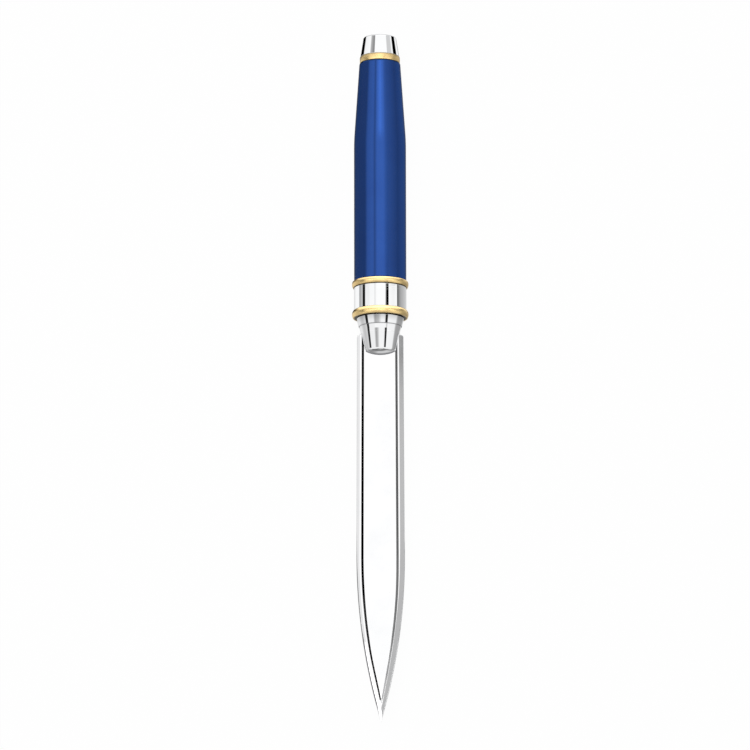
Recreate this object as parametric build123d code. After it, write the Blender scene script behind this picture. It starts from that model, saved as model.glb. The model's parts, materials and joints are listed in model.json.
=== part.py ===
from build123d import *
from math import sqrt
import os

# A pen-style letter opener lying flat: handle towards +Y, blade towards -Y, faces of the blade up and down.
# Lengths are in millimetres. Stations run along the axis from the point of the blade to the end cap.

# Blade in plan
blade_reach = 93.45          # point of the blade to the lip of the nose
blade_heel_width = 11.66     # across the shoulders
blade_belly_width = 12.06    # across the widest place
blade_belly_station = 42.0   # where the sides begin to close towards the point
shoulder_rise = 4.65         # shoulders above the lip of the nose
shoulder_round = 1.0
# Blade in section, from the edge inwards
edge_thickness = 0.62        # the paper-cutting edge is blunt
bevel_width = 0.93
bevel_rise = 0.195
land_width = 0.35            # nearly flat strip between the bevel and the centre panel
land_rise = 0.005
panel_wall_width = 0.58      # short steep wall between the land and the raised centre panel
panel_wall_rise = 0.49
bevel_point = 2.9            # station where the two bevels of a face meet on the centre line
land_setback = 0.5           # from there to where the two lands meet
panel_setback = 1.6          # from there to the end of the centre panel
# Tang and its cross pin
tang_width = 4.2
tang_reach = 6.3             # top of the tang above the clamping face of the nose
tang_round = 0.8
pin_d = 1.6
pin_margin = 2.5             # centre of the pin below the top of the tang

# Nose
nose_lip_d = 7.6
nose_cone_top_d = 10.3
nose_cone_length = 6.5
nose_dome_height = 0.7
nose_lip_bevel = 0.35
nose_ledge = 0.15            # fine step between the cone and the collar
nose_collar_top_d = 11.65
nose_collar_length = 2.15
stem_d = 6.4
stem_length = 9.0

# Trim rings and centre band
lower_ring_d = 14.2
lower_ring_length = 1.95
lower_ring_crown = 1.9       # radius of the arc across the rim
lower_ring_crest = 0.48      # where the rim is widest, as a share of the length from the foot
band_d = 13.15
band_length = 5.88
band_edge_bevel = 0.12
middle_ring_d = 14.2
middle_ring_length = 1.62
middle_ring_crown = 1.7
middle_ring_crest = 0.55
upper_ring_d = 10.15
upper_ring_length = 1.62
upper_ring_crown = 8.0
upper_ring_crest = 0.5

# Barrel
barrel_d = 13.1
barrel_top_d = 10.33         # where the taper would meet the upper ring, before its edge is bevelled
barrel_length = 56.7
barrel_taper_length = 20.25
barrel_knee_radius = 60.0    # soft bend between the cylinder and the taper
barrel_wall = 0.9            # at both ends
barrel_top_bevel = 0.25

# Inner fittings
spigot_wall = 1.3            # coupling around the stem of the nose
plug_length = 12.0           # coupling inside the barrel
clamp_gap = 0.4              # spigot stops short of the nose, so that the nose clamps the rings
bushing_length = 9.0
cap_stem_d = 4.0
cap_stem_length = 8.0
lead_in = 0.4                # chamfer on the ends of stems and pressed plugs

# End cap
cap_foot_d = 9.84
cap_top_d = 8.25
cap_length = 5.08
cap_edge_bevel = 0.18

slip = 0.05                  # clearance of a sliding fit, on each side

# Stations up the axis
lip = blade_reach
dome_end = lip - nose_dome_height
shoulder = lip + shoulder_rise
nose_step = lip + nose_cone_length
nose_top = nose_step + nose_collar_length
stem_top = nose_top + stem_length
band_foot = nose_top + lower_ring_length
band_top = band_foot + band_length
barrel_foot = band_top + middle_ring_length
barrel_top = barrel_foot + barrel_length
barrel_knee = barrel_top - barrel_taper_length
cap_foot = barrel_top + upper_ring_length
cap_top = cap_foot + cap_length
tang_top = nose_top + tang_reach
pin_station = tang_top - pin_margin

# Sizes shared by pieces that fit together
wall_inset = bevel_width + land_width
panel_inset = wall_inset + panel_wall_width
blade_thickness = edge_thickness + 2 * (bevel_rise + land_rise + panel_wall_rise)
spigot_d = stem_d + 2 * spigot_wall
wide_bore_r = barrel_d / 2 - barrel_wall
narrow_bore_r = barrel_top_d / 2 - barrel_wall

# The widest turned piece touches the surface that the opener lies on.
axis_height = max(
    nose_collar_top_d, lower_ring_d, band_d, middle_ring_d, barrel_d, upper_ring_d, cap_foot_d) / 2
in_place = Pos(0, -cap_top / 2, axis_height)


def corner_vertex(section, corner):
    # The vertex of a half section that lies at a corner.
    return section.vertices().sort_by_distance((corner[0], corner[1], 0))[0]


def turned(corners, bevels=(), rounds=()):
    # A lathe-turned piece from the (radius, station) corners of its half section, some bevelled or rounded.
    section = make_face(Polyline(*corners, close=True))
    for corner, length in bevels:
        section = chamfer(corner_vertex(section, corner), length)
    for corner, radius in rounds:
        section = fillet(corner_vertex(section, corner), radius)
    return revolve(section, Axis.Y)


def trim_ring(outer_d, foot, length, bore_d, crown, crest):
    # A ring bored to slide on the piece inside it, with one arc across its rim.
    inner = bore_d / 2 + slip
    outer = outer_d / 2
    below = crest * length
    above = length - below
    crown_r = max(crown, below, above)
    centre = outer - crown_r
    rim = ThreePointArc(
        (centre + sqrt(crown_r ** 2 - below ** 2), foot), (outer, foot + below),
        (centre + sqrt(crown_r ** 2 - above ** 2), foot + length))
    bore = Polyline(rim @ 1, (inner, foot + length), (inner, foot), rim @ 0)
    return revolve(make_face(rim + bore), Axis.Y)


def blade_section(height, inset, point):
    # Plan outline of the blade at one height: straight sides that widen a little, then two arcs that meet
    # at a point. It runs past the shoulders, where it is trimmed later.
    side_low = (blade_belly_width / 2 - inset, blade_belly_station)
    side_high = (half_width(tang_top) - inset, tang_top)
    towards_point = (side_low[0] - side_high[0], side_low[1] - side_high[1])
    side = Line(side_high, side_low)
    ogive = TangentArc(side_low, (0, point), tangent=towards_point)
    half = side + ogive
    heel = Line((-side_high[0], side_high[1]), side_high)
    return Pos(0, 0, height) * make_face(half + mirror(half, Plane.YZ) + heel)


def half_width(station):
    # Half the width between the straight sides of the blade at a station.
    flare = (blade_belly_width - blade_heel_width) / 2
    return blade_heel_width / 2 + flare * (shoulder - station) / (shoulder - blade_belly_station)


def shoulder_trim():
    # What is cut away at the heel: all above the shoulders, and the rounding of both corners.
    tangent = shoulder - shoulder_round
    blank_end = 2 * (tang_top - shoulder)
    above = Pos(0, shoulder) * Rectangle(2 * blade_belly_width, blank_end, align=(Align.CENTER, Align.MIN))
    square = Rectangle(2 * shoulder_round, 2 * shoulder_round, align=(Align.MIN, Align.MIN))
    corner = Pos(half_width(tangent) - shoulder_round, tangent) * (square - Circle(shoulder_round))
    return extrude(above + corner + mirror(corner, Plane.YZ), blade_thickness, both=True)


def blade():
    # Both faces are lofted from plan outlines: centre panel, foot of its wall, top of the bevel, edge, and the
    # same mirrored.
    edge_half = edge_thickness / 2
    panel_half = blade_thickness / 2
    bevel_top = edge_half + bevel_rise
    land_point = bevel_point + land_setback
    upper_face = [(edge_half, 0, 0), (bevel_top, bevel_width, bevel_point),
                  (bevel_top + land_rise, wall_inset, land_point),
                  (panel_half, panel_inset, land_point + panel_setback)]
    lower_face = [(-height, inset, point) for height, inset, point in reversed(upper_face)]
    sections = [blade_section(*level) for level in lower_face + upper_face]
    body = loft(sections, ruled=True) - shoulder_trim()
    root = shoulder - shoulder_rise / 2
    tang_face = Pos(0, root) * Rectangle(tang_width, tang_top - root, align=(Align.CENTER, Align.MIN))
    tang_face = fillet(tang_face.vertices().group_by(Axis.Y)[-1], tang_round)
    pin_hole = Pos(0, pin_station) * Cylinder(pin_d / 2, 2 * blade_thickness)
    return body + extrude(tang_face, panel_half, both=True) - pin_hole


def nose_cone():
    # Threaded stem, clamping face, conical collar, a fine step, the cone, a bevelled lip and a domed end.
    stem_r = stem_d / 2
    stem_corner = (stem_r, stem_top)
    cone_top_r = nose_cone_top_d / 2
    lip_corner = (nose_lip_d / 2, lip)
    outline = Polyline(
        (0, stem_top), stem_corner, (stem_r, nose_top), (nose_collar_top_d / 2, nose_top),
        (cone_top_r + nose_ledge, nose_step), (cone_top_r, nose_step), lip_corner)
    dome_radius = (lip_corner[0] ** 2 + nose_dome_height ** 2) / (2 * nose_dome_height)
    dome_mid = lip_corner[0] / 2
    dome_mid_station = dome_end + dome_radius - sqrt(dome_radius ** 2 - dome_mid ** 2)
    dome = ThreePointArc(lip_corner, (dome_mid, dome_mid_station), (0, dome_end))
    section = make_face(outline + dome + Line((0, dome_end), (0, stem_top)))
    section = chamfer(corner_vertex(section, stem_corner), lead_in)
    section = chamfer(corner_vertex(section, lip_corner), nose_lip_bevel)
    slot_thickness = blade_thickness + 2 * slip
    slot_depth = 2 * (shoulder - dome_end)
    blade_slot = Pos(0, shoulder) * Box(
        2 * nose_collar_top_d, slot_depth, slot_thickness, align=(Align.CENTER, Align.MAX, Align.CENTER))
    tang_slot = Pos(0, shoulder) * Box(
        tang_width + 2 * slip, 2 * (stem_top - shoulder), slot_thickness,
        align=(Align.CENTER, Align.MIN, Align.CENTER))
    pin_hole = Pos(0, pin_station) * Cylinder(pin_d / 2, 2 * stem_d)
    return revolve(section, Axis.Y) - blade_slot - tang_slot - pin_hole


def tang_pin():
    # The ends of the pin stay below the round of the stem, so that the stem still screws in.
    stem_r = stem_d / 2
    pin_half = sqrt(stem_r ** 2 - (pin_d / 2) ** 2) - slip
    return Pos(0, pin_station) * Cylinder(pin_d / 2, 2 * pin_half)


def lower_trim_ring():
    return trim_ring(
        lower_ring_d, nose_top, lower_ring_length, spigot_d, lower_ring_crown, lower_ring_crest)


def centre_band():
    # Plain sleeve with both outer edges broken.
    inner = spigot_d / 2 + slip
    low = (band_d / 2, band_foot)
    high = (band_d / 2, band_top)
    corners = [(inner, band_foot), low, high, (inner, band_top)]
    return turned(corners, bevels=[(low, band_edge_bevel), (high, band_edge_bevel)])


def middle_trim_ring():
    return trim_ring(
        middle_ring_d, band_top, middle_ring_length, spigot_d, middle_ring_crown, middle_ring_crest)


def upper_trim_ring():
    return trim_ring(
        upper_ring_d, barrel_top, upper_ring_length, cap_stem_d, upper_ring_crown, upper_ring_crest)


def barrel():
    # A cylinder, a soft knee, then a straight taper to a bevelled edge. The bore is stepped at the knee.
    foot_r = barrel_d / 2
    knee = (foot_r, barrel_knee)
    top = (barrel_top_d / 2, barrel_top)
    corners = [
        (wide_bore_r, barrel_foot), (foot_r, barrel_foot), knee, top, (narrow_bore_r, barrel_top),
        (narrow_bore_r, barrel_knee), (wide_bore_r, barrel_knee)]
    top_bevel = min(barrel_top_bevel, barrel_wall / 2)
    return turned(corners, bevels=[(top, top_bevel)], rounds=[(knee, barrel_knee_radius)])


def upper_bushing():
    # Plug in the narrow bore of the barrel, with a hole for the stem of the end cap.
    hole_r = cap_stem_d / 2
    edge = (narrow_bore_r, barrel_top - bushing_length)
    corners = [(hole_r, edge[1]), edge, (narrow_bore_r, barrel_top), (hole_r, barrel_top)]
    return turned(corners, bevels=[(edge, lead_in)])


def coupling():
    # Plug in the foot of the barrel and a spigot that carries the rings and the band, bored for the nose.
    spigot_r = spigot_d / 2
    bore_r = stem_d / 2
    spigot_foot = nose_top + clamp_gap
    edge = (wide_bore_r, barrel_foot + plug_length)
    corners = [
        (bore_r, spigot_foot), (spigot_r, spigot_foot), (spigot_r, barrel_foot), (wide_bore_r, barrel_foot),
        edge, (bore_r, edge[1])]
    return turned(corners, bevels=[(edge, lead_in)])


def end_cap():
    # Truncated cone with a stem that passes through the upper ring into the bushing.
    stem_r = cap_stem_d / 2
    stem_end = (stem_r, cap_foot - cap_stem_length)
    edge = (cap_top_d / 2, cap_top)
    corners = [
        (0, stem_end[1]), stem_end, (stem_r, cap_foot), (cap_foot_d / 2, cap_foot), edge, (0, cap_top)]
    return turned(corners, bevels=[(stem_end, lead_in), (edge, cap_edge_bevel)])


pieces = [
    blade, tang_pin, nose_cone, lower_trim_ring, centre_band, middle_trim_ring,
    coupling, barrel, upper_bushing, upper_trim_ring, end_cap]

os.makedirs("parts", exist_ok=True)
for piece in pieces:
    export_step(in_place * piece(), f"parts/{piece.__name__}.step")
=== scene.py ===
import json
import bpy
import numpy as np
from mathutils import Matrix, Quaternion, Vector

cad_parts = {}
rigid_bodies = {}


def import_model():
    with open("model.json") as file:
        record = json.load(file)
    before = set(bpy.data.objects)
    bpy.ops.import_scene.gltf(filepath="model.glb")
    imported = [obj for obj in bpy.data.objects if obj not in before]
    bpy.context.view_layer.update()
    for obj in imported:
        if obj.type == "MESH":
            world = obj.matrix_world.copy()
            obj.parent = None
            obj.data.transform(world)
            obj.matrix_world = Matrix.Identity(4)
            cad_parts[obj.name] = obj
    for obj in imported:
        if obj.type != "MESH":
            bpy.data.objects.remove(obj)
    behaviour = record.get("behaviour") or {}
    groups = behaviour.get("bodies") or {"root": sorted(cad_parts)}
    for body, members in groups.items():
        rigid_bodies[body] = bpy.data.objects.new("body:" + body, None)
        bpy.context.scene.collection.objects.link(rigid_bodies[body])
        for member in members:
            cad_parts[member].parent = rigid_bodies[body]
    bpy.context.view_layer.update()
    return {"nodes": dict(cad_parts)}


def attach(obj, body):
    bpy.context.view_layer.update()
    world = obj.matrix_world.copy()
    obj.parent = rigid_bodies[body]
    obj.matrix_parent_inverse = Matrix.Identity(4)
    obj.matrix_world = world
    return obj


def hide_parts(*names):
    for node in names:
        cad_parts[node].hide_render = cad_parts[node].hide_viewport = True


for startUp in list(bpy.data.objects):          # Blender's own first cube, lamp and camera
    bpy.data.objects.remove(startUp, do_unlink=True)

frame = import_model()
mm = 0.001
axisHeight = 7.1                                # mm, axis of the handle above the floor
tipPlace = -87.475                              # mm along Y, station 0 at the point of the blade
print("frame loaded:", len(frame["nodes"]), "nodes")


def roundedOutline(corners, closed=True, reach=0.03, steps=6, arcShare=0.45, reachShare=0.04):
    # Each corner (radius, station, rounding) becomes an arc that touches both its sides, with
    # one more point a short reach before and after it, so that the straight runs between stay
    # straight in shading. Arc and reach take at most their shares of the shorter side.
    places = np.array([corner[:2] for corner in corners], float)
    pieces = []
    for i, here in enumerate(places):
        if not closed and i in (0, len(corners) - 1):
            pieces.append(here[None])
            continue
        before = places[i - 1] - here
        after = places[(i + 1) % len(corners)] - here
        room = min(np.linalg.norm(before), np.linalg.norm(after))
        before = before / np.linalg.norm(before)
        after = after / np.linalg.norm(after)
        half = np.arccos(np.clip(before @ after, -1, 1)) / 2
        touch = min(corners[i][2] / np.tan(half), arcShare * room)
        rounding = touch * np.tan(half)
        bisector = (before + after) / np.linalg.norm(before + after)
        centre = here + bisector * rounding / np.sin(half)
        first = here + before * touch - centre
        last = here + after * touch - centre
        turn = np.arctan2(first[0] * last[1] - first[1] * last[0], first @ last)
        angles = np.arctan2(first[1], first[0]) + np.linspace(0, turn, steps)
        arc = centre + rounding * np.column_stack((np.cos(angles), np.sin(angles)))
        edge = min(reach, reachShare * room)
        pieces.append(np.vstack((arc[0] + before * edge, arc, arc[-1] + after * edge)))
    return np.vstack(pieces)


def gridFaces(rows, columns, wrapRows, wrapColumns):
    # Four-cornered faces of a grid of points, joined to its own start where it wraps.
    row = np.arange(rows if wrapRows else rows - 1)[:, None]
    column = np.arange(columns if wrapColumns else columns - 1)[None, :]
    nextRow = (row + 1) % rows
    nextColumn = (column + 1) % columns
    corners = (row * columns + column, nextRow * columns + column,
               nextRow * columns + nextColumn, row * columns + nextColumn)
    return np.stack(np.broadcast_arrays(*corners), -1).reshape(-1, 4)


def ringFan(start, columns, hub):
    # Triangles from every side of a ring of points to one hub point.
    column = np.arange(columns)
    return np.stack((start + column, start + (column + 1) % columns, np.full(columns, hub)), -1)


def outward(points, quads, fans):
    # Signed volume of the shell by summed tetrahedra; the faces are turned over if it is negative.
    triangles = np.vstack((quads[:, :3], quads[:, [0, 2, 3]], fans)).astype(int)
    a, b, c = points[triangles[:, 0]], points[triangles[:, 1]], points[triangles[:, 2]]
    if np.einsum("ij,ij->", a, np.cross(b, c)) < 0:
        quads, fans = quads[:, ::-1], fans[:, ::-1]
    return points, quads, fans


def cutOutline(outline, stations, closed, least=0.01):
    # One more point wherever a side of the outline crosses a station, at its share of the way
    # along that side, unless it lies nearer than the least length to one of the side's ends.
    ends = np.roll(outline, -1, 0) if closed else outline[1:]
    pieces = []
    for start, end in zip(outline, ends):
        run = end[1] - start[1]
        shares = (stations - start[1]) / run if abs(run) > 2 * least else np.zeros(0)
        shares = np.sort(shares[(shares * abs(run) > least) & ((1 - shares) * abs(run) > least)])
        pieces.append(np.vstack((start, start + shares[:, None] * (end - start))))
    return np.vstack(pieces if closed else pieces + [outline[-1]])


def turnedShell(outline, paintedShadeLines, closed=True, around=240, marks=(-1, 0.5, 1)):
    # Each outline point (radius, station) goes round the axis: x = radius sin a, z = radius cos a.
    # A closed outline gives a ring; an open one begins and ends on the axis, at two poles. It gets
    # extra points at the marks, in reaches from each seam, where its shade begins and ends.
    stations = np.array([station + mark * reach for _, station, reach, _ in paintedShadeLines for mark in marks])
    outline = cutOutline(outline, stations, closed)
    angles = np.arange(around) * 2 * np.pi / around
    rim = outline if closed else outline[1:-1]
    radius, station = rim[:, 0, None], rim[:, 1, None]
    grid = np.stack(np.broadcast_arrays(radius * np.sin(angles), station, radius * np.cos(angles)), -1)
    points = grid.reshape(-1, 3)
    quads = gridFaces(len(rim), around, closed, True)
    fans = np.zeros((0, 3), int)
    if not closed:
        poles = np.array([[0, outline[0, 1], 0], [0, outline[-1, 1], 0]])
        first = len(points)
        fans = np.vstack((ringFan(0, around, first),
                          ringFan(first - around, around, first + 1)[:, ::-1]))
        points = np.vstack((points, poles))
    return outward(points, quads, fans)


def sweptShell(sections):
    # A stack of closed sections, one row of points each, with a fan over the first and the last.
    rows, columns = sections.shape[:2]
    points = np.vstack((sections.reshape(-1, 3), sections[0].mean(0), sections[-1].mean(0)))
    hub = rows * columns
    quads = gridFaces(rows, columns, False, True)
    fans = np.vstack((ringFan(0, columns, hub), ringFan(hub - columns, columns, hub + 1)[:, ::-1]))
    return outward(points, quads, fans)


def softenedSections(corners, soft, sideShare=0.2, least=1e-9):
    # Sections with K corners (rows, K, 2): each corner becomes five points, two before and
    # two after it at one and two soft lengths along its sides, and the corner itself pulled
    # halfway to their chord. A soft length is at most its share of the shorter side.
    before = np.roll(corners, 1, 1) - corners
    after = np.roll(corners, -1, 1) - corners
    room = np.minimum(np.linalg.norm(before, axis=-1), np.linalg.norm(after, axis=-1))[..., None]
    before = before / np.maximum(np.linalg.norm(before, axis=-1, keepdims=True), least)
    after = after / np.maximum(np.linalg.norm(after, axis=-1, keepdims=True), least)
    step = np.minimum(soft, sideShare * room)
    middle = corners + step * (before + after) / 4
    stack = np.stack((corners + 2 * step * before, corners + step * before, middle,
                      corners + step * after, corners + 2 * step * after), 2)
    return stack.reshape(corners.shape[0], -1, 2)


def barShell(corners, stations, soft):
    # Softened sections, each set square to the axis at its station.
    section = softenedSections(corners, soft)
    along = np.broadcast_to(stations[:, None], section.shape[:2])
    return sweptShell(np.stack((section[..., 0], along, section[..., 1]), -1))


def paintedSeamShade(points, paintedShadeLines):
    # Painted shade: for each seam (radius, station, reach, strength), a circle round the axis
    # where pieces meet or along an edge: strength x (1 - distance / reach), between 0 and 1, and the
    # strongest one counts. Without a radius only the distance in station counts.
    shade = np.zeros(len(points))
    for radius, station, reach, strength in paintedShadeLines:
        aside = 0 if radius is None else np.hypot(points[:, 0], points[:, 2]) - radius
        gap = np.hypot(aside, points[:, 1] - station)
        shade = np.maximum(shade, np.clip(strength * (1 - gap / reach), 0, 1))
    return shade


def addPiece(name, shells, finish, node, paintedShadeLines, moreShade=None):
    # Shells joined in one mesh, moved from axis stations to the CAD frame
    # in metres. The shade attribute tells the finish where to paint shade, where
    # the piece meets another one and along some edges: the larger of its seam shade and what else is
    # given.
    points, faces, first = [], [], 0
    for shellPoints, quads, fans in shells:
        points.append(shellPoints)
        faces += (quads + first).tolist() + (fans + first).tolist()
        first += len(shellPoints)
    points = np.vstack(points)
    mesh = bpy.data.meshes.new(name)
    mesh.from_pydata(((points + (0, tipPlace, axisHeight)) * mm).tolist(), [], faces)
    shade = paintedSeamShade(points, paintedShadeLines)
    if moreShade is not None:
        shade = np.maximum(shade, moreShade)
    # painted shade per point, which darkens the finish's colour
    mesh.attributes.new("paintedShade", "FLOAT", "POINT").data.foreach_set("value", shade.astype(np.float32))
    mesh.polygons.foreach_set("use_smooth", np.ones(len(mesh.polygons), bool))
    mesh.materials.append(finish)
    mesh.update()
    piece = bpy.data.objects.new(name, mesh)
    bpy.context.scene.collection.objects.link(piece)
    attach(piece, "root")
    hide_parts(node)
    print("piece", name, len(mesh.polygons), "faces")


def addNode(tree, kind, inputs=None, **settings):
    # One shader node with its settings, and each input set to a value or linked to a socket.
    made = tree.nodes.new(kind)
    for key, value in settings.items():
        setattr(made, key, value)
    for key, value in (inputs or {}).items():
        if isinstance(value, bpy.types.NodeSocket):
            tree.links.new(value, made.inputs[key])
        else:
            made.inputs[key].default_value = value
    return made


def blend(tree, kind, factor, first, second):
    # The second colour laid on the first by the factor;
    # a Mix node has its colours at sockets 6, 7 and 2.
    made = addNode(tree, "ShaderNodeMix", {0: factor, 6: first, 7: second}, data_type="RGBA",
                   blend_type=kind)
    return made.outputs[2]


def makeHandlingGroup():
    # Polish as it is handled: broad soft smudges, and fine polishing lines that run where the
    # vector is stretched. Roughness = base + smudge amount x cloud + line amount x line, and the
    # height is the line itself.
    group = bpy.data.node_groups.new("handledPolish", "ShaderNodeTree")
    for label, kind in (("Place", "NodeSocketVector"), ("Line place", "NodeSocketVector"),
                        ("Base roughness", "NodeSocketFloat"), ("Smudge amount", "NodeSocketFloat"),
                        ("Line amount", "NodeSocketFloat")):
        group.interface.new_socket(label, in_out="INPUT", socket_type=kind)
    for label in ("Roughness", "Cloud", "Line"):
        group.interface.new_socket(label, in_out="OUTPUT", socket_type="NodeSocketFloat")
    given = addNode(group, "NodeGroupInput")
    out = addNode(group, "NodeGroupOutput")
    cloud = addNode(group, "ShaderNodeTexNoise", {"Vector": given.outputs["Place"], "Scale": 160.0,
                                                  "Detail": 3.0, "Roughness": 0.55})
    softCloud = addNode(group, "ShaderNodeMapRange", {"Value": cloud.outputs["Fac"], "From Min": 0.42,
                                                      "From Max": 0.7})
    line = addNode(group, "ShaderNodeTexNoise", {"Vector": given.outputs["Line place"], "Scale": 1.0,
                                                 "Detail": 2.0, "Roughness": 0.6})
    cloudPart = addNode(group, "ShaderNodeMath", {
        0: softCloud.outputs["Result"], 1: given.outputs["Smudge amount"],
        2: given.outputs["Base roughness"]}, operation="MULTIPLY_ADD")
    total = addNode(group, "ShaderNodeMath", {
        0: line.outputs["Fac"], 1: given.outputs["Line amount"],
        2: cloudPart.outputs[0]}, operation="MULTIPLY_ADD")
    group.links.new(total.outputs[0], out.inputs["Roughness"])
    group.links.new(softCloud.outputs["Result"], out.inputs["Cloud"])
    group.links.new(line.outputs["Fac"], out.inputs["Line"])
    return group


handledPolish = makeHandlingGroup()


def makeMetal(name, look):
    # Solid, plated or coated metal: the tone drifts a little between two near colours
    # with the smudges and goes towards a dark colour as painted shade where pieces meet and along some
    # edges, the roughness comes from the handling group, and the polishing lines give a very shallow
    # bump.
    finish = bpy.data.materials.new(name)
    finish.use_nodes = True
    tree = finish.node_tree
    shader = tree.nodes["Principled BSDF"]
    place = addNode(tree, "ShaderNodeTexCoord")
    stretch = addNode(tree, "ShaderNodeMapping", {"Vector": place.outputs["Object"],
                                                  "Scale": look["lineScale"]})
    marks = addNode(tree, "ShaderNodeGroup", {
        "Place": place.outputs["Object"], "Line place": stretch.outputs["Vector"],
        "Base roughness": look["roughness"], "Smudge amount": look["smudge"],
        "Line amount": look["lineRoughness"]}, node_tree=handledPolish)
    tone = blend(tree, "MIX", marks.outputs["Cloud"], (*look["colour"], 1), (*look["smudgedColour"], 1))
    bump = addNode(tree, "ShaderNodeBump", {"Height": marks.outputs["Line"],
                                            "Strength": look["lineBump"], "Distance": 0.00002})
    # painted shade: the tone mixed towards the dark shade colour by the per-point shade attribute
    paintedShade = addNode(tree, "ShaderNodeAttribute", attribute_name="paintedShade")
    shaded = blend(tree, "MIX", paintedShade.outputs["Fac"], tone, (*look["paintedShadeColour"], 1))
    tree.links.new(shaded, shader.inputs["Base Color"])
    tree.links.new(marks.outputs["Roughness"], shader.inputs["Roughness"])
    tree.links.new(bump.outputs["Normal"], shader.inputs["Normal"])
    shader.inputs["Metallic"].default_value = 1.0
    shader.inputs["Specular Tint"].default_value = (*look.get("edgeTint", (1, 1, 1)), 1)
    shader.inputs["Coat Weight"].default_value = look.get("coat", 0.0)
    shader.inputs["Coat Roughness"].default_value = look.get("coatRoughness", 0.03)
    return finish


# In each look, the third colour is the dark one that painted shade mixes towards.
chromeLook = {"colour": (0.93, 0.935, 0.94), "smudgedColour": (0.90, 0.91, 0.92),
              "paintedShadeColour": (0.16, 0.16, 0.17), "roughness": 0.006, "smudge": 0.004,
              "lineScale": (300, 9000, 300), "lineRoughness": 0.002, "lineBump": 0.01}
bladeLook = {"colour": (0.95, 0.95, 0.955), "smudgedColour": (0.92, 0.925, 0.935),
             "paintedShadeColour": (0.2, 0.2, 0.21), "roughness": 0.025, "smudge": 0.02,
             "lineScale": (9000, 160, 9000), "lineRoughness": 0.02, "lineBump": 0.03}
goldLook = {"colour": (0.97, 0.72, 0.33), "smudgedColour": (0.94, 0.68, 0.30),
            "paintedShadeColour": (0.02, 0.015, 0.01), "roughness": 0.27, "smudge": 0.05,
            "lineScale": (400, 9000, 400), "lineRoughness": 0.05, "lineBump": 0.05}
blueLook = {"colour": (0.0255, 0.082, 0.325), "smudgedColour": (0.024, 0.077, 0.31),
            "paintedShadeColour": (0.005, 0.02, 0.06), "edgeTint": (0.5, 0.58, 0.75), "roughness": 0.012,
            "smudge": 0.008, "lineScale": (5000, 60, 5000), "lineRoughness": 0.004, "lineBump": 0.02,
            "coat": 0.12, "coatRoughness": 0.2}
brassLook = {"colour": (0.72, 0.52, 0.22), "smudgedColour": (0.62, 0.44, 0.20),
             "paintedShadeColour": (0.3, 0.2, 0.1), "roughness": 0.25, "smudge": 0.12,
             "lineScale": (300, 6000, 300), "lineRoughness": 0.12, "lineBump": 0.3}
pinLook = {"colour": (0.58, 0.58, 0.60), "smudgedColour": (0.50, 0.50, 0.52),
           "paintedShadeColour": (0.2, 0.2, 0.2), "roughness": 0.28, "smudge": 0.1,
           "lineScale": (300, 300, 6000), "lineRoughness": 0.1, "lineBump": 0.3}
chrome = makeMetal("brightChrome", chromeLook)
polishedSteel = makeMetal("polishedBladeSteel", bladeLook)
goldPlate = makeMetal("goldPlate", goldLook)
blueMetallic = makeMetal("blueMetallic", blueLook)
turnedBrass = makeMetal("turnedBrass", brassLook)
pinSteel = makeMetal("plainPinSteel", pinLook)
print("finishes made")


# Its seam circles paint shade where the cap meets the upper ring, and a dark outline along its top rim.
endCap = {"foot": 169.87, "top": 174.95, "footRadius": 4.92, "topRadius": 4.125, "edge": 0.28,
          "footEdge": 0.1, "stemRadius": 2.0, "stemFoot": 161.87, "stemEdge": 0.3, "rootEdge": 0.1,
          "paintedShadeLines": [(4.92, 169.87, 0.2, 0.8), (4.08, 174.9, 0.28, 1.3)]}


def capOutline(c):
    # From the end of the stem out to the foot of the cone,
    # up its side and in to the middle of the flat top.
    return roundedOutline([
        (0, c["stemFoot"], 0), (c["stemRadius"], c["stemFoot"], c["stemEdge"]),
        (c["stemRadius"], c["foot"], c["rootEdge"]), (c["footRadius"], c["foot"], c["footEdge"]),
        (c["topRadius"], c["top"], c["edge"]), (0, c["top"], 0)], closed=False)


capShell = turnedShell(capOutline(endCap), endCap["paintedShadeLines"], closed=False)
addPiece("endCapTurned", [capShell], chrome, "end_cap", endCap["paintedShadeLines"])

# Each ring's seam circles paint shade where it meets its neighbours; the lower ring's paints a black
# gap under it.
upperRing = {"foot": 168.25, "length": 1.62, "outer": 5.075, "bore": 2.05, "crown": 8.0, "crest": 0.5,
             "edge": 0.12, "paintedShadeLines": [(5.0, 168.25, 0.16, 0.7), (5.04, 169.82, 0.3, 0.75)]}
middleRing = {"foot": 110.01, "length": 1.44, "outer": 7.098, "bore": 4.55, "crown": 1.4, "crest": 0.55,
              "edge": 0.08, "paintedShadeLines": [(6.575, 110.01, 0.22, 1.0), (6.55, 111.45, 0.16, 0.7)]}
lowerRing = {"foot": 102.2, "length": 1.82, "outer": 7.098, "bore": 4.55, "crown": 1.5, "crest": 0.48,
             "edge": 0.08, "paintedShadeLines": [(6.02, 102.2, 0.66, 2.4), (6.575, 104.02, 0.16, 0.7)]}


def sideRun(start, end, steps=16, afterStart=0.02, beforeEnd=0.06):
    # Radii out along a flat side: both ends, and even steps
    # from just after the one to just before the other.
    return np.concatenate(([start], np.linspace(start + afterStart, end - beforeEnd, steps), [end]))


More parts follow.
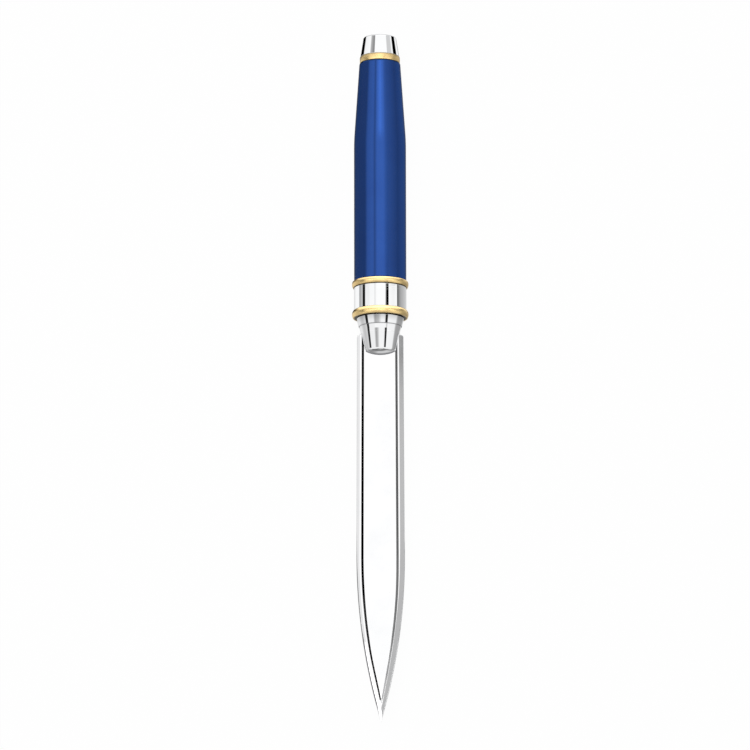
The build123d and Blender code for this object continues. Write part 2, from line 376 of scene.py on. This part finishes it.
def ringOutline(c, steps=28):
    # Bore, foot and top, closed by one crown arc, whose radius from
    # the axis is outer - crown + sqrt(crown^2 - (station - crest)^2).
    crest = c["foot"] + c["crest"] * c["length"]
    top = c["foot"] + c["length"]
    low = np.arcsin((c["foot"] + c["edge"] - crest) / c["crown"])
    high = np.arcsin((top - c["edge"] - crest) / c["crown"])
    angles = np.linspace(low, high, steps)
    rim = np.column_stack((c["outer"] - c["crown"] * (1 - np.cos(angles)),
                           crest + c["crown"] * np.sin(angles)))
    toe = rim[0, 0] - c["edge"]
    head = rim[-1, 0] - c["edge"]
    footRun = sideRun(c["bore"], toe)
    headRun = sideRun(c["bore"], head)
    footSide = np.column_stack((footRun, np.full_like(footRun, c["foot"])))
    topSide = np.column_stack((headRun[::-1], np.full_like(headRun, top)))
    out, up = 0.7 * c["edge"], 0.3 * c["edge"]      # halfway round a corner
    return np.vstack((footSide, (toe + out, c["foot"] + up), rim, (head + out, top - up), topSide))


for ringName, ring, node in (("upperRingTurned", upperRing, "upper_trim_ring"),
                             ("middleRingTurned", middleRing, "middle_trim_ring"),
                             ("lowerRingTurned", lowerRing, "lower_trim_ring")):
    ringShell = turnedShell(ringOutline(ring), ring["paintedShadeLines"])
    addPiece(ringName, [ringShell], goldPlate, node, ring["paintedShadeLines"])

# Its seam circles paint shade where the band meets the rings.
band = {"foot": 104.05, "top": 109.93, "outer": 6.575, "bore": 4.55, "edge": 0.12, "boreEdge": 0.03,
        "paintedShadeLines": [(6.575, 104.05, 0.18, 0.8), (6.575, 109.93, 0.2, 0.9)]}


def bandOutline(c):
    # A plain sleeve: four corners, the two outer ones rounded more.
    return roundedOutline([(c["bore"], c["foot"], c["boreEdge"]), (c["outer"], c["foot"], c["edge"]),
                           (c["outer"], c["top"], c["edge"]), (c["bore"], c["top"], c["boreEdge"])])


bandShell = turnedShell(bandOutline(band), band["paintedShadeLines"])
addPiece("centreBandTurned", [bandShell], chrome, "centre_band", band["paintedShadeLines"])

# Its seam circles paint shade at the foot and a dark line along the top edge under the upper ring.
barrel = {"foot": 111.55, "knee": 148.0, "top": 168.25, "footRadius": 6.55, "topRadius": 5.165,
          "kneeRound": 60.0, "topEdge": 0.4, "footEdge": 0.12, "boreEdge": 0.03, "wall": 0.9,
          "paintedShadeLines": [(6.55, 111.55, 0.25, 0.8), (5.05, 168.15, 0.36, 2.0)]}


def barrelOutline(c):
    # Up the cylinder, round the soft knee, along the taper
    # to its rounded edge, and back down the stepped bore.
    wide = c["footRadius"] - c["wall"]
    narrow = c["topRadius"] - c["wall"]
    return roundedOutline([
        (wide, c["foot"], c["boreEdge"]), (c["footRadius"], c["foot"], c["footEdge"]),
        (c["footRadius"], c["knee"], c["kneeRound"]), (c["topRadius"], c["top"], c["topEdge"]),
        (narrow, c["top"], c["boreEdge"]), (narrow, c["knee"], c["boreEdge"]),
        (wide, c["knee"], c["boreEdge"])], steps=10)


barrelShell = turnedShell(barrelOutline(barrel), barrel["paintedShadeLines"])
addPiece("barrelTurned", [barrelShell], blueMetallic, "barrel", barrel["paintedShadeLines"])

# Its seam circles paint shade in the rounded lip, at the step, and a soft shade down the collar under
# the lower ring.
nose = {"domeEnd": 92.52, "lip": 93.45, "shoulder": 98.1, "step": 99.95, "top": 102.1, "stemTop": 111.1,
        "lipRadius": 3.92, "flare": 98.75, "flareRadius": 4.95, "coneTopRadius": 5.27, "ledge": 0.15,
        "collarRadius": 5.945, "stemRadius": 3.2, "lipRound": 0.6, "lipBevel": 0.5, "lipLean": 20,
        "bevelRound": 0.4, "slotEndRound": 0.01, "flareRound": 1.0, "stepRound": 0.05,
        "collarRound": 0.1, "rootRound": 0.05, "stemRound": 0.3, "slotHalf": 1.05, "slotClear": 1e-4,
        "rearOverlap": 0.4, "tuck": 0.03, "jawReach": 1.4, "jawShade": 1.8,
        "lipShadeRun": (-0.1, 0.3), "flankShade": 0.35, "flankFade": 0.4,
        "paintedShadeLines": [(3.84, 93.42, 0.3, 0.4), (5.32, 99.95, 0.2, 0.85), (5.945, 102.1, 1.5, 0.42)]}


def coneRadius(c, station):
    # Straight taper from the lip, then the last stretch up to the step, read between their ends.
    return np.interp(station, (c["lip"], c["flare"], c["step"]),
                     (c["lipRadius"], c["flareRadius"], c["coneTopRadius"]))


def noseRearOutline(c):
    # The unslotted rear: flat where the slot ends, cone, fine step, collar, clamping face and stem.
    return roundedOutline([
        (0, c["shoulder"], 0), (coneRadius(c, c["shoulder"]), c["shoulder"], c["slotEndRound"]),
        (c["flareRadius"], c["flare"], c["flareRound"]),
        (c["coneTopRadius"], c["step"], c["stepRound"]),
        (c["coneTopRadius"] + c["ledge"], c["step"], c["stepRound"]),
        (c["collarRadius"], c["top"], c["collarRound"]), (c["stemRadius"], c["top"], c["rootRound"]),
        (c["stemRadius"], c["stemTop"], c["stemRound"]), (0, c["stemTop"], 0)], closed=False)


def jawOutline(c, domeSteps=40, lipSteps=14, coneSteps=12, lastShare=0.04):
    # Dome arc out from the slot, round lip, short bevel, then the cone back to where the slot ends.
    rise = c["lip"] - c["domeEnd"]
    bevelTop = c["lip"] + c["lipBevel"]
    toe = coneRadius(c, bevelTop) - c["lipBevel"] * np.tan(np.radians(c["lipLean"]))
    domeRadius = (toe ** 2 + rise ** 2) / (2 * rise)
    reach = np.linspace(c["slotHalf"] + c["slotClear"], toe, domeSteps)
    dome = np.column_stack((reach, c["domeEnd"] + domeRadius - np.sqrt(domeRadius ** 2 - reach ** 2)))
    spread = np.linalg.norm(dome - (toe, c["lip"]), axis=1)
    dome = dome[spread > c["lipRound"]]
    root = c["shoulder"]
    corner = roundedOutline([(*dome[-1], 0), (toe, c["lip"], c["lipRound"]),
                             (coneRadius(c, bevelTop), bevelTop, c["bevelRound"]),
                             (coneRadius(c, root), root, 0)], closed=False, steps=lipSteps)
    run = np.linspace(corner[-2], corner[-1], coneSteps)
    nearEnd = run[-1] + lastShare * (run[-2] - run[-1])     # keeps the end's turn short
    run = np.vstack((run[:-1], nearEnd, run[-1]))
    back = root + c["rearOverlap"]
    tucked = (coneRadius(c, back) - c["tuck"], back)        # under the rear, clear of it
    return np.vstack((dome[:-1], corner[1:-2], run, tucked))


def jawShell(c, side, steps=72, flatSteps=12, flatShare=0.98):
    # D-shaped sections: an arc of the turned radius from
    # slot face to slot face, then straight back along it.
    outline = jawOutline(c)
    radius, station = outline[:, 0, None], outline[:, 1, None]
    widest = np.arccos(np.clip(c["slotHalf"] / radius, -1, 1))
    arc = np.linspace(-1, 1, steps)[None, :] * widest
    flat = np.linspace(flatShare, -flatShare, flatSteps)[None, :] * np.sin(widest) * radius
    x = np.hstack((radius * np.sin(arc), flat))
    z = np.hstack((radius * np.cos(arc), np.full_like(flat, c["slotHalf"])))
    return sweptShell(np.stack((x, np.broadcast_to(station, x.shape), side * z), -1))


def jawShade(c, points):
    # Where a jaw meets the blade: strength x (1 - height
    # above its slot face / reach), less on the cone's flanks.
    height = np.clip(np.abs(points[:, 2]) - c["slotHalf"], 0, None)
    lipFrom, lipTo = c["lipShadeRun"]
    strength = np.interp(points[:, 1], (c["lip"] + lipFrom, c["lip"] + lipTo,
                                        c["shoulder"] - c["flankFade"], c["shoulder"]),
                         (c["jawShade"], c["flankShade"], c["flankShade"], 0))
    return np.clip(strength * (1 - height / c["jawReach"]), 0, 1)


noseShells = [turnedShell(noseRearOutline(nose), nose["paintedShadeLines"], closed=False),
              jawShell(nose, 1), jawShell(nose, -1)]
noseShade = jawShade(nose, np.vstack([shell[0] for shell in noseShells]))
addPiece("noseTurned", noseShells, chrome, "nose_cone", nose["paintedShadeLines"], noseShade)


blade = {"shoulder": 98.1, "heelHalf": 5.83, "bellyHalf": 6.03, "belly": 42.0, "tipHalf": 0.004,
         # the seam on the next line paints shade across the top of the shoulders, by station only
         "shoulderRound": 1.0, "roundGap": 0.05, "soft": 0.02, "paintedShadeLines": [(None, 98.1, 0.25, 0.5)],
         # the tang
         "tangTop": 108.4, "tangHalf": 2.1, "tangRound": 0.8, "tangInside": 2, "tangGap": 0.01,
         # the facets, from the edge inwards
         "bevelHalf": 0.27, "thinnest": 0.01, "panelHalf": 1.0, "honeSlope": 45, "bevelWidth": 0.93,
         "bevelSlope": 11.93, "landWidth": 0.42, "landSlope": 1.0, "wallWidth": 0.62, "wallSlope": 40.2,
         # the honed facet, which widens twice towards the point, over a run (start, span)
         "honeWidth": 0.1, "honeMore": 0.15, "honeMoreRun": (48.0, 12), "honeLast": 0.1,
         "honeLastRun": (24, 4), "honeMost": 0.3, "honeTrim": 0.8,
         # where the inner lines end near the point, and how they draw in there
         "landPoint": 2.9, "footPoint": 3.4, "panelPoint": 5.0, "panelSink": 4.4, "panelRise": 1.2,
         "hollow": 0.10, "hollowFrom": 3.6, "hollowSpan": 6.0, "hollowShares": (0.35, 1.0, 1.3),
         "lineShares": (0.02, 0.985),
         # how far off the middle it is ground, and what differs on the right
         "offset": -0.19, "fadeHalf": 2, "rightOut": 0.1, "rightOutRun": (40.0, 8),
         "rightDraw": (0.5, 0.3), "rightLand": (0.06, 0.32), "rightLandRun": (26, 44.0),
         "rightLandMost": 0.3,
         # painted shade on facets near the point: strength, and level by station
         "honeShade": 0.8, "honeShadeBy": ((2, 5, 16, 22), (0.2, 1, 1, 0)),
         "wallShade": 0.55, "wallShadeBy": ((4.4, 6, 12, 15), (0, 1, 1, 0))}


def planHalf(c, stations, inset, point):
    # Half width in plan: a straight side that widens a little towards the belly, then the arc
    # that is tangent to that side and ends on the axis at the point; nothing beyond the point.
    slope = (c["heelHalf"] - c["bellyHalf"]) / (c["shoulder"] - c["belly"])
    start = np.array((c["bellyHalf"] - inset, c["belly"]))
    inward = np.array((-1.0, slope)) / np.hypot(1, slope)
    chord = np.array((0, point)) - start
    bend = chord @ chord / (2 * chord @ inward)
    centre = start + bend * inward
    side = start[0] + slope * (stations - c["belly"])
    arc = centre[0] + np.sqrt(np.maximum(bend ** 2 - (stations - centre[1]) ** 2, 0))
    return np.where(stations > c["belly"], side, np.where(stations > point, np.maximum(arc, 0), 0))


def roundedEnd(half, stations, start, rounding):
    # A half width that ends in a quarter circle past its
    # start: half - rounding + sqrt(rounding^2 - past^2).
    past = np.clip(stations - start, 0, rounding)
    return half - rounding + np.sqrt(np.maximum(rounding ** 2 - past ** 2, 0))


def fadeIn(stations, start, span):
    # Nothing above the start, all a span nearer the point: (start - station) / span, between 0 and 1.
    return np.clip((start - stations) / span, 0, 1)


def bladeStations(c, pointRun=(0.03, 8, 110), bellyFrom=8.3, bellySteps=90, sideFrom=1, sideSteps=40,
                  roundSteps=14, roundShare=0.9999):
    # Close together at the point and round the shoulders, wider apart between them.
    round0 = c["shoulder"] - c["shoulderRound"]
    quarter = np.sin(np.linspace(0, np.pi / 2, roundSteps))
    return np.concatenate((np.linspace(*pointRun), np.linspace(bellyFrom, c["belly"], bellySteps),
                           np.linspace(c["belly"] + sideFrom, round0 - c["roundGap"], sideSteps),
                           round0 + c["shoulderRound"] * quarter * roundShare))


def bladeShell(c):
    # Twenty-cornered sections along the stations. From the edge inwards: a fine honed facet,
    # the ground bevel, a flat land, the panel wall and the panel. Each facet keeps its slope,
    # so a corner's height is the one before it plus tan(slope) x the facet's width, measured
    # square to the edge. Near the point the inner lines draw in by hollow x d x exp(-d / span)
    # at d past its start, and the panel sinks into the land. All inside the bevels is ground a
    # little off the middle, which fades out towards the point. The right side differs there:
    # its lines draw in less, its land runs out and its bevel goes on almost to the edge.
    stations = bladeStations(c)
    edge = np.maximum(planHalf(c, stations, 0, 0), c["tipHalf"])
    square = 1 / np.hypot(1, np.gradient(edge, stations))
    square[stations > c["belly"]] = 1.0
    last = c["honeLast"] * fadeIn(stations, *c["honeLastRun"])
    hone = c["honeWidth"] + c["honeMore"] * fadeIn(stations, *c["honeMoreRun"]) + last
    hone = np.minimum(hone, c["honeMost"] * edge * square)
    lines = [edge, edge - hone / square]
    inset = 0.0
    past = np.maximum(stations - c["hollowFrom"], 0)
    hollow = c["hollow"] * past * np.exp(-past / c["hollowSpan"])
    least, most = c["lineShares"]                   # of the line outside it
    for width, point, share in zip(("bevelWidth", "landWidth", "wallWidth"),
                                   ("landPoint", "footPoint", "panelPoint"), c["hollowShares"]):
        inset += c[width]
        line = planHalf(c, stations, inset, c[point]) - share * hollow
        lines.append(np.clip(line, least * lines[-1], most * lines[-1]))
    slopes = np.tan(np.radians((c["honeSlope"], c["bevelSlope"], c["landSlope"], c["wallSlope"])))
    heights = [np.maximum(c["bevelHalf"] + last - hone, c["thinnest"])]
    for outer, inner, slope in zip(lines[:-1], lines[1:], slopes):
        heights.append(heights[-1] + slope * (outer - inner) * square)
    sunk = np.clip((stations - c["panelSink"]) / c["panelRise"], 0, 1)
    heights[-1] = heights[-2] + sunk * (np.minimum(heights[-1], c["panelHalf"]) - heights[-2])
    lines[0] = roundedEnd(edge, stations, c["shoulder"] - c["shoulderRound"], c["shoulderRound"])
    lines[1] = np.minimum(lines[1], lines[0] - c["honeTrim"] * hone)
    heights[1] = heights[2] - slopes[1] * np.maximum(lines[1] - lines[2], 0)
    heights[0] = heights[1] - hone
    quarter = np.stack((np.stack(lines, -1), np.stack(heights, -1)), -1)
    upper = np.concatenate((quarter, quarter[:, ::-1] * (-1, 1)), 1)
    across, up = 0, 1
    # corners of the upper half, counted from the right edge
    honeLine, bevelLine, footLine, panelLine, leftBevel = 1, 2, 3, 4, 7
    fade = np.clip(lines[panelLine] / c["fadeHalf"], 0, 1)
    upper[:, footLine:-2, across] += (c["offset"] * fade)[:, None]
    upper[:, leftBevel, up] += slopes[1] * c["offset"] * fade
    footDraw, panelDraw = c["rightDraw"]
    out = c["rightOut"] * fade * fadeIn(stations, *c["rightOutRun"]) + footDraw * hollow
    upper[:, footLine, across] += out
    upper[:, panelLine, across] += out + panelDraw * hollow
    upper[:, honeLine, across] += (hone - np.minimum(hone, c["honeWidth"])) / square
    room = upper[:, honeLine, across] - upper[:, footLine, across]
    land = np.minimum(np.interp(stations, c["rightLandRun"], c["rightLand"]), c["rightLandMost"] * room)
    upper[:, bevelLine, across] = upper[:, footLine, across] + land
    upper[:, bevelLine, up] = heights[footLine] - slopes[2] * land
    bevel = slopes[1] * (upper[:, honeLine, across] - upper[:, bevelLine, across]) * square
    upper[:, honeLine, up] = np.maximum(upper[:, bevelLine, up] - bevel, heights[0] + c["thinnest"])
    return barShell(np.concatenate((upper, upper * (-1, -1)), 1), stations, c["soft"])


def pointShade(c, count):
    # Painted shade towards the point, on both faces: the honed facet of one edge and the wall over
    # the other one. Each is its strength x a level read by station, on the section points of that
    # facet.
    facePoints, honePoints, wallPoints = 50, slice(42, None), slice(17, 23)
    stations = bladeStations(c)
    shade = np.zeros((len(stations), 2, facePoints))
    shade[:, :, honePoints] = c["honeShade"] * np.interp(stations, *c["honeShadeBy"])[:, None, None]
    shade[:, :, wallPoints] = c["wallShade"] * np.interp(stations, *c["wallShadeBy"])[:, None, None]
    return np.concatenate((shade.ravel(), np.zeros(count - shade.size)))


def tangShell(c, sideSteps=12, roundSteps=10):
    # A flat bar inside the nose, its two far corners rounded in plan.
    round0 = c["tangTop"] - c["tangRound"]
    foot = c["shoulder"] - c["tangInside"]
    stations = np.concatenate((np.linspace(foot, round0 - c["roundGap"], sideSteps),
                               round0 + c["tangRound"] * np.sin(np.linspace(0, np.pi / 2, roundSteps))))
    half = roundedEnd(c["tangHalf"], stations, round0, c["tangRound"])
    thick = np.full_like(half, c["panelHalf"] - c["tangGap"])
    corners = np.stack((np.stack((half, -thick), -1), np.stack((half, thick), -1),
                        np.stack((-half, thick), -1), np.stack((-half, -thick), -1)), 1)
    return barShell(corners, stations, c["soft"])


bladeShells = [bladeShell(blade), tangShell(blade)]
bladeShade = pointShade(blade, sum(len(shell[0]) for shell in bladeShells))
addPiece("bladeGround", bladeShells, polishedSteel, "blade", blade["paintedShadeLines"], bladeShade)

for node, finish in (("coupling", turnedBrass), ("upper_bushing", turnedBrass), ("tang_pin", pinSteel)):
    for materialSlot in frame["nodes"][node].material_slots:
        materialSlot.material = finish
print("inner fittings finished")


floorLook = {"size": 6.0, "colour": (0.86, 0.86, 0.86), "glow": 0.97}


def makeFloor(c):
    # A flat sheet; to the camera it is mostly plain white, and the rest of it takes the soft shadow.
    half = c["size"] / 2
    mesh = bpy.data.meshes.new("paleFloor")
    corners = [(-half, -half, 0), (half, -half, 0), (half, half, 0), (-half, half, 0)]
    mesh.from_pydata(corners, [], [(0, 1, 2, 3)])
    sheet = bpy.data.objects.new("paleFloor", mesh)
    bpy.context.scene.collection.objects.link(sheet)
    finish = bpy.data.materials.new("paleFloor")
    finish.use_nodes = True
    tree = finish.node_tree
    tree.nodes.remove(tree.nodes["Principled BSDF"])
    matte = addNode(tree, "ShaderNodeBsdfDiffuse", {"Color": (*c["colour"], 1)})
    white = addNode(tree, "ShaderNodeEmission", {"Color": (1, 1, 1, 1), "Strength": 1.0})
    path = addNode(tree, "ShaderNodeLightPath")
    share = addNode(tree, "ShaderNodeMath", {0: path.outputs["Is Camera Ray"], 1: c["glow"]},
                    operation="MULTIPLY")
    mixed = addNode(tree, "ShaderNodeMixShader", {0: share.outputs[0], 1: matte.outputs[0],
                                                  2: white.outputs[0]})
    tree.links.new(mixed.outputs[0], tree.nodes["Material Output"].inputs["Surface"])
    mesh.materials.append(finish)
    sheet.visible_glossy = False                # metal sees the tent all round instead


lightTent = {
    # Panels and dark flags round the axis, by degrees from straight up, more towards +X. Each
    # pattern takes over from the one before it where the lean along the axis passes its edge,
    # which rises a little with height.
    "patterns": [
        # low over the point, which the nose sees
        {"edge": None, "rise": 0.0,
         "round": [(-180, 0.85), (-130, 0.85), (-112, 0.62), (-100, 0.58), (-90, 0.68), (-81.5, 0.7),
                   (-80.5, 0.02), (-66.5, 0.02), (-65, 0.97), (-50, 0.95), (-36, 0.97), (-31, 0.6),
                   (-25, 0.38), (-18, 0.5), (-11, 0.75), (-6, 1.0), (18, 1.02), (25.5, 0.9),
                   (27.3, 0.02), (38, 0.02), (40, 1.03), (60, 1.0), (88, 0.98), (94, 0.55), (101, 0.38),
                   (140, 0.36), (160, 0.6), (180, 0.8)]},
        # over the blade, which the blade and the band see
        {"edge": (0.09, 0.11), "rise": 0.0,
         "round": [(-180, 0.6), (-152, 0.85), (-130, 1.03), (-108, 1.03), (-105, 0.42), (-98, 0.42),
                   (-93, 0.58), (-84.5, 0.52), (-83.5, 0.0), (-71, 0.0), (-69.5, 0.96), (-52, 0.95),
                   (-44, 1.04), (-26, 1.04), (-25, 0.84), (-21.5, 0.84), (-20.5, 1.03), (-13, 1.07),
                   (20, 1.07), (22.4, 1.05), (22.8, 0.54), (25.9, 0.52), (26.4, 0.0), (36.5, 0.0),
                   (37.6, 1.05), (60, 0.98), (78.8, 1.04), (79.4, 0.1), (82, 0.1), (92, 0.3),
                   (104, 0.44), (180, 0.8)]},
        # over the barrel
        {"edge": (0.2273, 0.2276), "rise": 0.0005,
         "round": [(-180, 0.2), (-150, 0.27), (-130, 0.40), (-70, 0.44), (-58, 0.9), (-54, 0.94),
                   (-38, 1.06), (-31, 1.04), (-26, 0.77), (-22, 0.77), (-19, 1.0), (-12, 1.27),
                   (12, 1.28), (17, 1.2), (24, 1.0), (34, 0.81), (63, 0.62), (85, 0.48), (112, 0.58),
                   (132, 0.58), (150, 0.4), (180, 0.2)]},
        # past the far end, which the end cap sees
        {"edge": (0.378, 0.392), "rise": 0.08,
         "round": [(-180, 0.0), (-119, 0.0), (-114, 0.95), (-66, 1.04), (-61, 0.52), (-45, 0.32),
                   (-36, 0.24), (-32.5, 1.06), (45, 1.06), (48, 0.66), (77, 0.68), (81, 1.0), (90, 1.0),
                   (92, 0.0), (122, 0.0), (124.5, 1.0), (146, 1.0), (150, 0.6), (158, 0.62),
                   (163, 0.95), (180, 0.9)]},
        # far along, which only rounded edges and the gold beads see
        {"edge": (0.56, 0.60), "rise": 0.0,
         "round": [(-180, 1.2), (-120, 1.6), (-65, 1.7), (-45, 2.3), (45, 2.4), (65, 1.7), (120, 1.6),
                   (180, 1.2)]}],
    # brightness by the lean along the axis, -1 towards the point and 1 towards the end cap
    "along": [(-1, 0.72), (-0.985, 0.7), (-0.97, 0.24), (-0.86, 0.26), (-0.8, 0.66), (-0.66, 0.73),
              (-0.58, 0.8), (-0.42, 0.74), (-0.34, 0.97), (0.5, 1.0), (0.95, 1.0), (1, 0.8)],
    # dim straight below, by height and lean, each from where it begins to where it is full
    "below": {"height": (-0.94, -0.96), "lean": (-0.10, -0.15), "level": 0.2},
    # single panels and flags: a level, laid on by its places round and along
    "panels": [
        # bright, straight above the upper handle
        (1.85, [(-20, 0), (-9, 0.45), (-3, 1), (4, 1), (9, 0.5), (17, 0.25), (22, 0)],
         [(0.226, 0), (0.25, 0.05), (0.30, 0.25), (0.36, 0.85), (0.39, 1), (0.42, 0)]),
        # white, in the flare of the nose
        (1.03, [(-36, 0), (-33, 1), (42, 1), (45, 0)],
         [(-0.33, 0), (-0.32, 1), (-0.275, 1), (-0.268, 0)]),
        # white, in the rounded lip of the nose
        (0.96, [(-100, 0), (-75, 1), (75, 1), (100, 0)],
         [(-0.62, 0), (-0.56, 1), (-0.32, 1), (-0.27, 0)]),
        # bright, on the crests of the gold beads
        (2.3, [(-70, 0), (-45, 1), (45, 1), (70, 0)], [(-0.085, 0), (-0.06, 1), (0.08, 1), (0.12, 0)]),
        # grey, on one bevel towards the heel of the blade
        (0.22, [(21.5, 0), (22.8, 1), (25.9, 1), (26.4, 0)],
         [(0.206, 0), (0.212, 0.2), (0.2149, 0.5), (0.216, 0.8), (0.2176, 1), (0.2188, 1),
          (0.2198, 0)]),
        # grey and dark, on one bevel, one wall and the honed edges towards the point of the blade
        (0.5, [(19.5, 0), (20.5, 1), (25.9, 1), (26.4, 0)], [(-0.02, 0), (0, 1), (0.17, 1), (0.19, 0)]),
        (0.18, [(66, 0), (68, 1), (84, 1), (86, 0)], [(-0.06, 0), (-0.04, 1), (0.17, 1), (0.19, 0)]),
        (0.36, [(66, 0), (68, 1), (84, 1), (86, 0)], [(-0.06, 0), (-0.04, 1), (0.0, 0.7), (0.08, 0)]),
        (0.48, [(84, 0), (86, 1), (95, 1), (97, 0)], [(-0.04, 0), (-0.02, 1), (0.17, 1), (0.19, 0)]),
        (0.25, [(-98, 0), (-96, 1), (-85, 1), (-83, 0)], [(-0.01, 0), (0.01, 1), (0.17, 1), (0.19, 0)]),
        # grey, on the collar of the nose
        (0.5, [(-30, 0), (-22, 0.8), (-8, 0.8), (6, 0)],
         [(-0.265, 0), (-0.26, 1), (-0.245, 1), (-0.235, 0)])],
    "fill": 0.4}


def grey(level):
    # The same level in red, green and blue.
    return (level, level, level, 1)


def setRamp(node, stops, low, high):
    # Stops given in real units, spread over the ramp from 0 to 1: all places first, then all levels.
    ramp = node.color_ramp
    ramp.interpolation = "LINEAR"
    while len(ramp.elements) < len(stops):
        ramp.elements.new(1.0)
    for element, (place, _) in zip(ramp.elements, stops):
        element.position = (place - low) / (high - low)
    for element, (_, level) in zip(ramp.elements, stops):
        element.color = grey(level)


def makeTent(c):
    # What metal reflects: the patterns' brightness by the angle round the axis, times
    # brightness by the lean along it, dim straight below, with the single panels laid
    # on. The camera sees plain white, and everything else gets an even fill.
    world = bpy.data.worlds.new("lightTent")
    bpy.context.scene.world = world
    world.use_nodes = True
    tree = world.node_tree
    tree.nodes.clear()
    place = addNode(tree, "ShaderNodeTexCoord")
    part = addNode(tree, "ShaderNodeSeparateXYZ", {"Vector": place.outputs["Generated"]})
    angle = addNode(tree, "ShaderNodeMath", {0: part.outputs["X"], 1: part.outputs["Z"]},
                    operation="ARCTAN2")

    def spread(value, low, high):
        # (value - low) / (high - low), held between 0 and 1.
        made = addNode(tree, "ShaderNodeMapRange", {"Value": value, "From Min": low, "From Max": high})
        return made.outputs["Result"]

    turn = spread(angle.outputs[0], -np.pi, np.pi)
    lean = spread(part.outputs["Y"], -1, 1)

    def levels(value, stops, low, high):
        # Brightness read between the stops.
        made = addNode(tree, "ShaderNodeValToRGB", {"Fac": value})
        setRamp(made, stops, low, high)
        return made.outputs["Color"]

    def roundLevels(stops):
        # Brightness by degrees round the axis.
        return levels(turn, stops, -180, 180)

    def alongLevels(stops):
        # Brightness by the lean along the axis.
        return levels(lean, stops, -1, 1)

    def beyond(edge, rise):
        # The lean past an edge that rises with height: y - rise x z, spread over the edge.
        made = addNode(tree, "ShaderNodeMath", {0: part.outputs["Z"], 1: -rise, 2: part.outputs["Y"]},
                       operation="MULTIPLY_ADD")
        return spread(made.outputs[0], *edge)

    seen = None
    for pattern in c["patterns"]:
        around = roundLevels(pattern["round"])
        if seen:
            around = blend(tree, "MIX", beyond(pattern["edge"], pattern["rise"]), seen, around)
        seen = around
    seen = blend(tree, "MULTIPLY", 1.0, seen, alongLevels(c["along"]))
    below = addNode(tree, "ShaderNodeMath", {0: spread(part.outputs["Z"], *c["below"]["height"]),
                                             1: spread(part.outputs["Y"], *c["below"]["lean"])},
                    operation="MULTIPLY")
    total = blend(tree, "MIX", below.outputs[0], seen, grey(c["below"]["level"]))
    for level, across, along in c["panels"]:
        share = blend(tree, "MULTIPLY", 1.0, roundLevels(across), alongLevels(along))
        total = blend(tree, "MIX", share, total, grey(level))
    path = addNode(tree, "ShaderNodeLightPath")
    fill = addNode(tree, "ShaderNodeBackground", {"Color": grey(1), "Strength": c["fill"]})
    tent = addNode(tree, "ShaderNodeBackground", {"Color": total, "Strength": 1.0})
    white = addNode(tree, "ShaderNodeBackground", {"Color": grey(1), "Strength": 1.0})
    other = addNode(tree, "ShaderNodeMixShader", {0: path.outputs["Is Glossy Ray"], 1: fill.outputs[0],
                                                  2: tent.outputs[0]})
    shown = addNode(tree, "ShaderNodeMixShader", {0: path.outputs["Is Camera Ray"], 1: other.outputs[0],
                                                  2: white.outputs[0]})
    addNode(tree, "ShaderNodeOutputWorld", {"Surface": shown.outputs[0]})


makeFloor(floorLook)
makeTent(lightTent)

softBox = {"place": (-0.12, 0.1, 0.9), "size": 0.6, "power": 5.0}
lamp = bpy.data.lights.new("softBox", "AREA")
lamp.shape = "SQUARE"
lamp.size = softBox["size"]
lamp.energy = softBox["power"]
lampObject = bpy.data.objects.new("softBox", lamp)
lampObject.location = softBox["place"]
lampObject.rotation_euler = (-Vector(softBox["place"])).to_track_quat("-Z", "Y").to_euler()
lampObject.visible_glossy = False               # metal sees the tent's panels, not the lamp
bpy.context.scene.collection.objects.link(lampObject)

cameraSetting = {"lens": 273.6, "sensor": 36.0, "clip": (0.05, 20.0), "distance": 1.426,
                 "elevation": 77.8, "roll": -0.09, "aim": (-0.00135, 0.0002, 0.0071)}
camera = bpy.data.cameras.new("photoCamera")
camera.lens = cameraSetting["lens"]
camera.sensor_width = cameraSetting["sensor"]
camera.clip_start, camera.clip_end = cameraSetting["clip"]
cameraObject = bpy.data.objects.new("photoCamera", camera)
lean = np.radians(cameraSetting["elevation"])
back = Vector((0, -np.cos(lean), np.sin(lean)))
cameraObject.location = Vector(cameraSetting["aim"]) + back * cameraSetting["distance"]
turned = (-back).to_track_quat("-Z", "Y") @ Quaternion((0, 0, 1), np.radians(cameraSetting["roll"]))
cameraObject.rotation_euler = turned.to_euler()
bpy.context.scene.collection.objects.link(cameraObject)
bpy.context.scene.camera = cameraObject
bpy.context.scene.view_settings.view_transform = "Standard"
print("floor, light and camera set")
